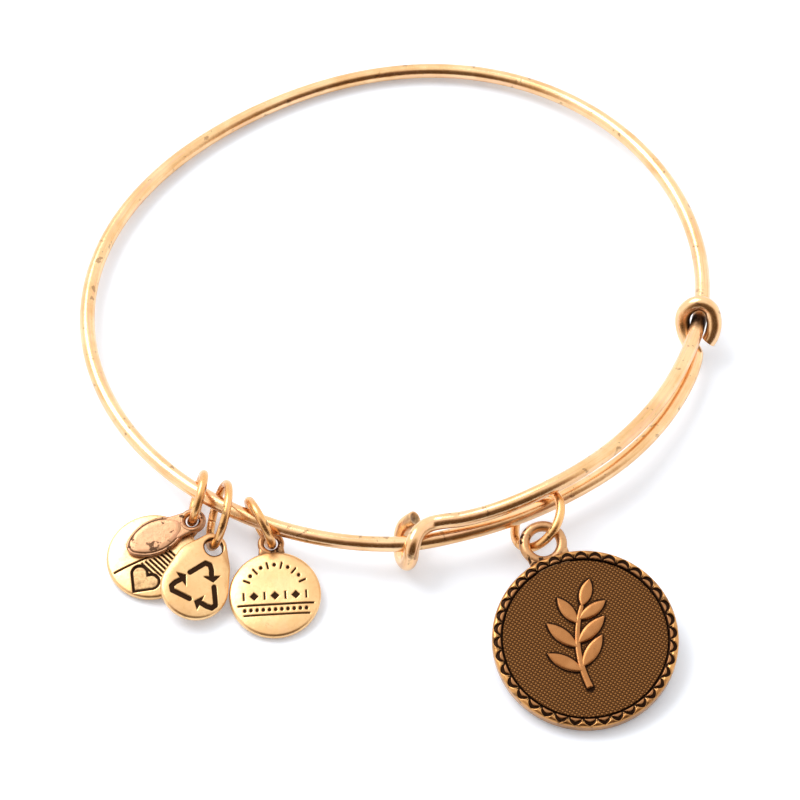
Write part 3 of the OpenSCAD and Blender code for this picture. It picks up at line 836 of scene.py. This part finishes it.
COPPER = metal("sprig_copper", rgb(0.46, 0.20, 0.072), rgb(0.34, 0.135, 0.045), rgb(0.50, 0.23, 0.09),
               pits=0.2, rough=0.28)
BAIL = metal("bail_copper", rgb(0.62, 0.35, 0.17), rgb(0.34, 0.16, 0.07), rgb(0.54, 0.28, 0.17),
             pits=1.0, rough=0.34)
# Weave of the disc's field: pitch in metres, turn in degrees, colours of its gaps, threads and crests
WEAVE_PITCH, WEAVE_TURN = 0.00022, -12
CLOTH_GAP, CLOTH_THREAD = rgb(0.016, 0.007, 0.004), rgb(0.14, 0.052, 0.014)
CLOTH_CREST = rgb(0.4, 0.18, 0.058)
# Disc's rim: light and deep gold, and the copper of its lobes
RIM_LIGHT, RIM_DEEP, RIM_COPPER = rgb(0.64, 0.33, 0.12), rgb(0.31, 0.135, 0.042), rgb(0.34, 0.155, 0.065)


def disc_metal():
    """The disc: gold rim, copper lobes, black groove, and a dark field woven of two threads."""
    s = Shader("disc_antique")
    where = s.node("ShaderNodeTexCoord").outputs["Object"]
    turn = s.node("ShaderNodeMapping", Vector=where, Rotation=(0, 0, math.radians(WEAVE_TURN)))
    axes = s.node("ShaderNodeSeparateXYZ", Vector=turn.outputs[0])
    waves = [s.math("SINE", s.math("MULTIPLY", axes.outputs[i], math.pi / WEAVE_PITCH)) for i in (0, 1)]
    weave = s.math("MULTIPLY", *waves)
    thread = s.ramp(s.math("ABSOLUTE", weave), 0.15, 0.8)
    over = s.ramp(weave, -0.2, 0.5)
    fine = s.noise(where, *FINE_GRAIN)
    drift = s.ramp(s.noise(where, 300, 3), 0.3, 0.7)
    cloth = s.mix(s.math("MULTIPLY", thread, 0.9), CLOTH_GAP, CLOTH_THREAD)
    cloth = s.mix(s.math("MULTIPLY", over, 0.55), cloth, CLOTH_CREST)
    rim = s.mix(s.math("MULTIPLY", drift, 0.6), RIM_LIGHT, RIM_DEEP)
    spots = s.ramp(s.speckle(where), 0.3, 0.4)
    rim = s.mix(s.math("MULTIPLY", spots, 0.6), rim, SHADE_AND_PATINA)
    rim = s.mix(s.math("MULTIPLY", s.value("copper"), 0.9), rim, RIM_COPPER)
    colour = s.mix(s.value("field"), rim, cloth)
    # Patina in the slits and the groove, with painted shade in the arches and round the sprig
    patina_and_shade = s.math("ADD", s.value("dark"), s.math("MULTIPLY", s.math("SUBTRACT", fine, 0.5), 0.4), True)
    colour = s.mix(s.ramp(patina_and_shade, 0.15, 0.75), colour, DEEP_SHADE_AND_PATINA)
    s.put(s.bsdf, "Base Color", colour)
    s.bsdf.inputs["Metallic"].default_value = 1.0
    dull = s.math("ADD", s.math("MULTIPLY", fine, 0.15), 0.22)
    s.put(s.bsdf, "Roughness", s.math("ADD", s.math("MULTIPLY", s.value("field"), 0.16), dull))
    height = s.math("ADD", s.math("MULTIPLY", thread, s.value("field")), s.math("MULTIPLY", fine, 0.2))
    s.put(s.bsdf, "Normal", s.bump(height, 0.5, 0.00005))
    return s.mat


DISC = disc_metal()


# Pieces
def coil_painted_shade(verts):
    """Painted shade inside the coils."""
    dark = np.zeros(len(verts))
    for base, along, depth, near, far in COIL_PAINTED_SHADE:
        away = np.linalg.norm(verts - lane_point(angle_along(base, along)), axis=1)
        dark = np.maximum(dark, depth * (1 - smooth(away, near, far)))
    return dark


def make_wire():
    """The bangle's wire, coils and all."""
    mesh = Mesh()
    # The wire, with painted shade inside its coils
    sweep(mesh, wire_course(), WIRE_R, WIRE_SIDES, shade=coil_painted_shade)
    mesh.build("gold_wire", [WIRE_GOLD], "bangle_wire")


def make_ring(node):
    """A jump ring with its butt cut."""
    at, tip, turn, cut, outer, wire = RINGS[node]
    mean = (outer - wire) / 2
    half = math.degrees(RING_CUT / 2 / mean)
    a = np.radians(cut + np.linspace(half, 360 - half, RING_STEPS))
    path = np.c_[mean * np.cos(a), mean * np.sin(a), 0 * a] @ (rot("z", turn) @ rot("y", tip)).T + at
    mesh = Mesh()
    sweep(mesh, path, wire / 2 - RING_SKIN, RING_SIDES)
    mesh.build(node + "_gold", [RING_GOLD], node)


def add_bail(mesh, name, slot=1):
    """The ring cast at a piece's edge, and the flat neck that joins them."""
    centre, mean, wire, foot, foot_r = BAILS[name]
    ring, ways = circle_line(mean, BAIL_STEPS, centre)
    path = np.c_[ring, np.zeros(BAIL_STEPS)]
    toward = np.array(foot) - centre
    near = ways @ toward / np.linalg.norm(toward)
    # Painted shade on the side of the bail next to its neck
    dark = np.repeat(BAIL_PAINTED_SHADE * smooth(near, *BAIL_FADE), BAIL_SIDES)
    sweep(mesh, placed(path, name), BAIL_SKIN * wire, BAIL_SIDES, closed=True, slot=slot, dark=dark)
    outline, normals = hull_line(((centre, mean + wire / 2), (foot, foot_r)), NECK_STEPS)
    d = outline - centre
    inner = centre + mean * d / np.linalg.norm(d, axis=1)[:, None]
    thick = 2 * NECK_SHARE * wire
    plate(mesh, name, outline, normals, inner, thick, NECK_EDGE * thick, NECK_SOFT,
          np.linspace(0, 1, NECK_ROWS), neck_relief(name), slot)


def neck_relief(name):
    """Painted shade where the neck meets its piece."""
    reach = {"disc_charm": DISC_R, "oval_tag": 0}.get(name, TAG_R)

    def relief(x, y):
        return 0 * x, {"dark": NECK_PAINTED_SHADE * (1 - smooth(np.hypot(x, y) - reach, 0.0, NECK_FADE))}
    return relief


def relief_of(marking):
    """A marking's depth and darkness, as plate takes them."""
    def relief(x, y):
        dz, dark = marking(x, y)
        return dz, {"dark": dark}
    return relief


def make_round(node, marking):
    """The round tag or the heart tag."""
    outline, normals = circle_line(TAG_R - SKIN, TAG_STEPS)
    mesh = Mesh()
    plate(mesh, node, outline, normals, np.zeros_like(outline), TAG_T - 2 * SKIN, TAG_EDGE, TAG_SOFT,
          np.linspace(0, 1, ROUND_ROWS), relief_of(marking))
    add_bail(mesh, node)
    mesh.build(node + "_gold", [TAG_GOLD, BAIL], node)


def make_drop():
    """The drop tag, its skin drawn in from the outline and out from the hole."""
    outline, normals = hull_line(DROP, TAG_STEPS)
    outline = outline - SKIN * normals
    d = outline - np.array(DROP_HOLE)
    inner = DROP_HOLE + (DROP_HOLE_R + SKIN) * d / np.linalg.norm(d, axis=1)[:, None]
    mesh = Mesh()
    plate(mesh, "drop_tag", outline, normals, inner, TAG_T - 2 * SKIN, DROP_EDGE, DROP_SOFT,
          np.linspace(0, 1, DROP_ROWS), relief_of(drop_tag_marks))
    mesh.build("drop_tag_gold", [TAG_GOLD], "drop_tag")


def make_oval():
    """The oval tag, turned like the heart tag that it lies on."""
    outline, normals = oval_outline(SKIN, OVAL_STEPS)
    m = rot("z", HEART_TURN)[:2, :2].T
    mesh = Mesh()
    plate(mesh, "oval_tag", outline @ m, normals @ m, np.zeros_like(outline), OVAL_T - 2 * SKIN, OVAL_EDGE,
          OVAL_SOFT, np.linspace(0, 1, OVAL_ROWS), relief_of(oval_marks))
    add_bail(mesh, "oval_tag", slot=0)
    mesh.build("oval_tag_copper", [OVAL_COPPER], "oval_tag")


# Sprig: radius of the stem's arc, its bow to the left, its ends below and above the middle, its width,
# and the share of its width that it loses on the way up
STEM_R, STEM_BOW, STEM_DOWN, STEM_UP, STEM_W, STEM_TAPER = 12.0, 0.8, 5.2, 3.4, 0.7, 0.35
# Points along the stem and along a leaf, and how far the sprig's foot lies under the field
STEM_STEPS, LEAF_STEPS, SPRIG_FOOT = 60, 50, 0.05
# Leaves: place along the stem, turn from the stem's way, length, width
LEAVES = ((-17, 46, 4, 1.4), (-15, -46, 4, 1.4), (-5, 46, 4, 1.4), (-3, -46, 4, 1.4),
          (7, 44, 3.4, 1.3), (9, -44, 3.4, 1.3), (16, 0, 3, 1.3))
# Right half of a stroke's section: share of its half width, share of its height; and its least half width
SECTION = [(0, 1.0), (0.4, 0.98), (0.68, 0.92), (0.86, 0.8), (0.97, 0.58), (1.0, 0.3), (1.0, 0.0)]
LEAST_HALF = 0.012
# Painted shadow round the foot of the raised sprig, in the field: width, depth
SPRIG_SHADOW_W, SPRIG_SHADOW_DARK = 0.35, 0.75
# Rows of the disc: how many out to a radius, then a short step, and how many closer ones outside it
WIDE_ROWS, CLOSE_R, CLOSE_GAP, CLOSE_ROWS = 70, 8.0, 0.05, 20


def sprig_strokes():
    """Middle lines and half widths of the stem and the leaves, in the disc's plane."""
    centre = np.array([STEM_R - STEM_BOW, 0.0])
    low, high = math.asin(STEM_DOWN / STEM_R), math.asin(STEM_UP / STEM_R)
    a = np.linspace(math.pi + low, math.pi - high, STEM_STEPS)
    stem = centre + STEM_R * np.c_[np.cos(a), np.sin(a)]
    strokes = [(stem, STEM_W / 2 * (1 - STEM_TAPER * np.linspace(0, 1, STEM_STEPS)))]
    for place, turn, length, width in LEAVES:
        a = math.radians(180 - place)
        root = centre + STEM_R * np.array([math.cos(a), math.sin(a)])
        way = a + math.radians(turn - 90)
        u = np.linspace(0, 1, LEAF_STEPS)
        line = root + length * u[:, None] * np.array([math.cos(way), math.sin(way)])
        r = (length**2 + width**2) / (4 * width)
        strokes.append((line, np.sqrt(np.maximum(r * r - (length * (u - 0.5)) ** 2, 0)) - (r - width / 2)))
    return strokes


def add_stroke(mesh, line, half, z_foot, z_top, slot):
    """Raised stroke with steep sides, rounded shoulders and a gently crowned top."""
    n = len(line)
    ahead = np.gradient(line, axis=0)
    ahead /= np.linalg.norm(ahead, axis=1)[:, None]
    side = np.c_[-ahead[:, 1], ahead[:, 0]]
    profile = [(-share, h) for share, h in SECTION[:0:-1]] + SECTION
    half = np.maximum(half, LEAST_HALF)
    verts = np.array([[*(line[i] + share * half[i] * side[i]), z_foot + (z_top - z_foot) * h]
                      for i in range(n) for share, h in profile])
    m = len(profile)
    faces = strip_faces(n, m)
    faces += [list(range(m)), list(range((n - 1) * m, n * m))]
    mesh.add(placed(verts, "disc_charm"), faces, slot)


def make_disc():
    """The disc with its scallops, field, raised sprig and bail."""
    outline, normals = circle_line(DISC_R - SKIN, SCALLOPS * SCALLOP_STEPS)
    flat = DISC_R - SKIN - DISC_EDGE
    # The rows lie closer together over the groove and the scallops
    close = np.linspace((CLOSE_R + CLOSE_GAP) / flat, 1, CLOSE_ROWS)
    steps = np.concatenate([np.linspace(0, CLOSE_R / flat, WIDE_ROWS), close])
    strokes = sprig_strokes()
    dots = np.vstack([line for line, _ in strokes])
    wide = np.concatenate([half for _, half in strokes])

    def relief(x, y):
        dz, found = disc_relief(x, y)
        far = np.full(len(x), np.inf)
        for p, w in zip(dots, wide):
            far = np.minimum(far, np.hypot(x - p[0], y - p[1]) - w)
        # Painted shadow round the sprig's foot, in the field only
        sprig_shadow = 1 - smooth(far, 0.0, SPRIG_SHADOW_W)
        found["dark"] = np.maximum(found["dark"], SPRIG_SHADOW_DARK * sprig_shadow * found["field"])
        return dz, found

    mesh = Mesh()
    plate(mesh, "disc_charm", outline, normals, np.zeros_like(outline), DISC_T - 2 * SKIN, DISC_EDGE,
          DISC_SOFT, steps, relief)
    add_bail(mesh, "disc_charm", slot=2)
    foot = DISC_T / 2 - FIELD_DEPTH - SPRIG_FOOT
    for line, half in strokes:
        add_stroke(mesh, line, half, foot, DISC_T / 2 - SKIN, 1)
    mesh.build("disc_charm_antique", [DISC, COPPER, BAIL], "disc_charm")


make_wire()
for ring in RINGS:
    make_ring(ring)
make_round("round_tag", round_tag_marks)
make_round("heart_tag", heart_tag_marks)
make_drop()
make_oval()
make_disc()


# Floor, light and camera
# Half the floor's width and its height, in metres, and the strength of its painted glow, which lightens the
# shadows on it
FLOOR_HALF, FLOOR_Z, FLOOR_PAINTED_GLOW_STRENGTH = 3.0, -0.0001, 0.22
# Its two colours and that of its painted glow; scale and detail of its mottling, how strong that is,
# and its roughness
FLOOR_LIGHT, FLOOR_DEEP, FLOOR_PAINTED_GLOW_TINT = rgb(0.88, 0.92, 1.0), rgb(0.84, 0.88, 0.97), rgb(0.7, 0.85, 1.0)
FLOOR_GRAIN, FLOOR_MOTTLE, FLOOR_ROUGH = (900, 2), 0.03, 0.6


def make_floor():
    """The white table that everything lies on."""
    shader = Shader("floor_white")
    shader.bsdf.inputs["Roughness"].default_value = FLOOR_ROUGH
    # A faint painted glow on the floor, which lightens the shadows on it
    shader.bsdf.inputs["Emission Color"].default_value = FLOOR_PAINTED_GLOW_TINT
    shader.bsdf.inputs["Emission Strength"].default_value = FLOOR_PAINTED_GLOW_STRENGTH
    where = shader.node("ShaderNodeTexCoord").outputs["Object"]
    grain = shader.noise(where, *FLOOR_GRAIN)
    share = shader.math("MULTIPLY", grain, FLOOR_MOTTLE)
    shader.put(shader.bsdf, "Base Color", shader.mix(share, FLOOR_LIGHT, FLOOR_DEEP))
    data = bpy.data.meshes.new("floor")
    corners = [(x * FLOOR_HALF, y * FLOOR_HALF, FLOOR_Z) for x, y in ((-1, -1), (1, -1), (1, 1), (-1, 1))]
    data.from_pydata(corners, [], [(0, 1, 2, 3)])
    data.materials.append(shader.mat)
    floor = bpy.data.objects.new("floor", data)
    bpy.context.scene.collection.objects.link(floor)


def make_light():
    """The key light, a soft panel high up at the far left."""
    data = bpy.data.lights.new("key", "AREA")
    data.shape, data.energy = "RECTANGLE", KEY_POWER
    data.size, data.size_y = KEY_SIZE
    light = bpy.data.objects.new("key", data)
    light.location = KEY_AT
    light.rotation_mode = "QUATERNION"
    light.rotation_quaternion = (-Vector(KEY_AT)).to_track_quat("-Z", "Y")
    bpy.context.scene.collection.objects.link(light)


def make_world():
    """A soft white tent with a dim warm patch low in front, where the camera stands."""
    world = bpy.data.worlds.new("studio")
    world.use_nodes = True
    tree = world.node_tree
    sky = tree.nodes["Background"]
    way = tree.nodes.new("ShaderNodeTexCoord").outputs["Generated"]
    dot = tree.nodes.new("ShaderNodeVectorMath")
    dot.operation = "DOT_PRODUCT"
    dot.inputs[1].default_value = Vector(SKY_WAY).normalized()
    tree.links.new(way, dot.inputs[0])
    level = tree.nodes.new("ShaderNodeMapRange")
    level.interpolation_type = "SMOOTHSTEP"
    for i, value in enumerate((SKY_FROM, SKY_TO, SKY_HIGH, SKY_LOW), 1):
        level.inputs[i].default_value = value
    tree.links.new(dot.outputs["Value"], level.inputs[0])
    tree.links.new(level.outputs[0], sky.inputs["Strength"])
    tint = tree.nodes.new("ShaderNodeMapRange")
    tint.data_type = "FLOAT_VECTOR"
    tint.interpolation_type = "SMOOTHSTEP"
    for i, value in enumerate(((SKY_FROM,) * 3, (SKY_TO,) * 3, SKY_BRIGHT, SKY_DIM), 7):
        tint.inputs[i].default_value = value
    tree.links.new(dot.outputs["Value"], tint.inputs[6])
    tree.links.new(tint.outputs[1], sky.inputs["Color"])
    bpy.context.scene.world = world


def make_camera():
    """The camera, where the photo's stood."""
    data = bpy.data.cameras.new("camera")
    data.lens, data.sensor_width = CAM_LENS, CAM_SENSOR
    data.clip_start, data.clip_end = CAM_NEAR, CAM_FAR
    camera = bpy.data.objects.new("camera", data)
    e = math.radians(CAM_ELEVATION)
    look = -MID[1] * MM
    camera.location = (-MID[0] * MM, look - CAM_DISTANCE * MM * math.cos(e), CAM_DISTANCE * MM * math.sin(e))
    camera.rotation_euler = (math.radians(90 - CAM_ELEVATION), 0, 0)
    bpy.context.scene.collection.objects.link(camera)
    bpy.context.scene.camera = camera


# Sky: middle of its dark patch, cosines from which and to which it darkens, strengths and colours
SKY_WAY, SKY_FROM, SKY_TO, SKY_HIGH, SKY_LOW = (0.1, -0.92, 0.38), 0.4, 0.88, 1.22, 0.12
SKY_BRIGHT, SKY_DIM = (1.0, 0.99, 0.96), (1.0, 0.62, 0.32)
# Key light, aimed at the origin: place and size in metres, power in watts
KEY_AT, KEY_SIZE, KEY_POWER = (-0.45, 0.35, 0.75), (0.6, 0.5), 4.6

make_floor()
make_world()
make_light()
make_camera()
bpy.context.scene.view_settings.view_transform = "Standard"
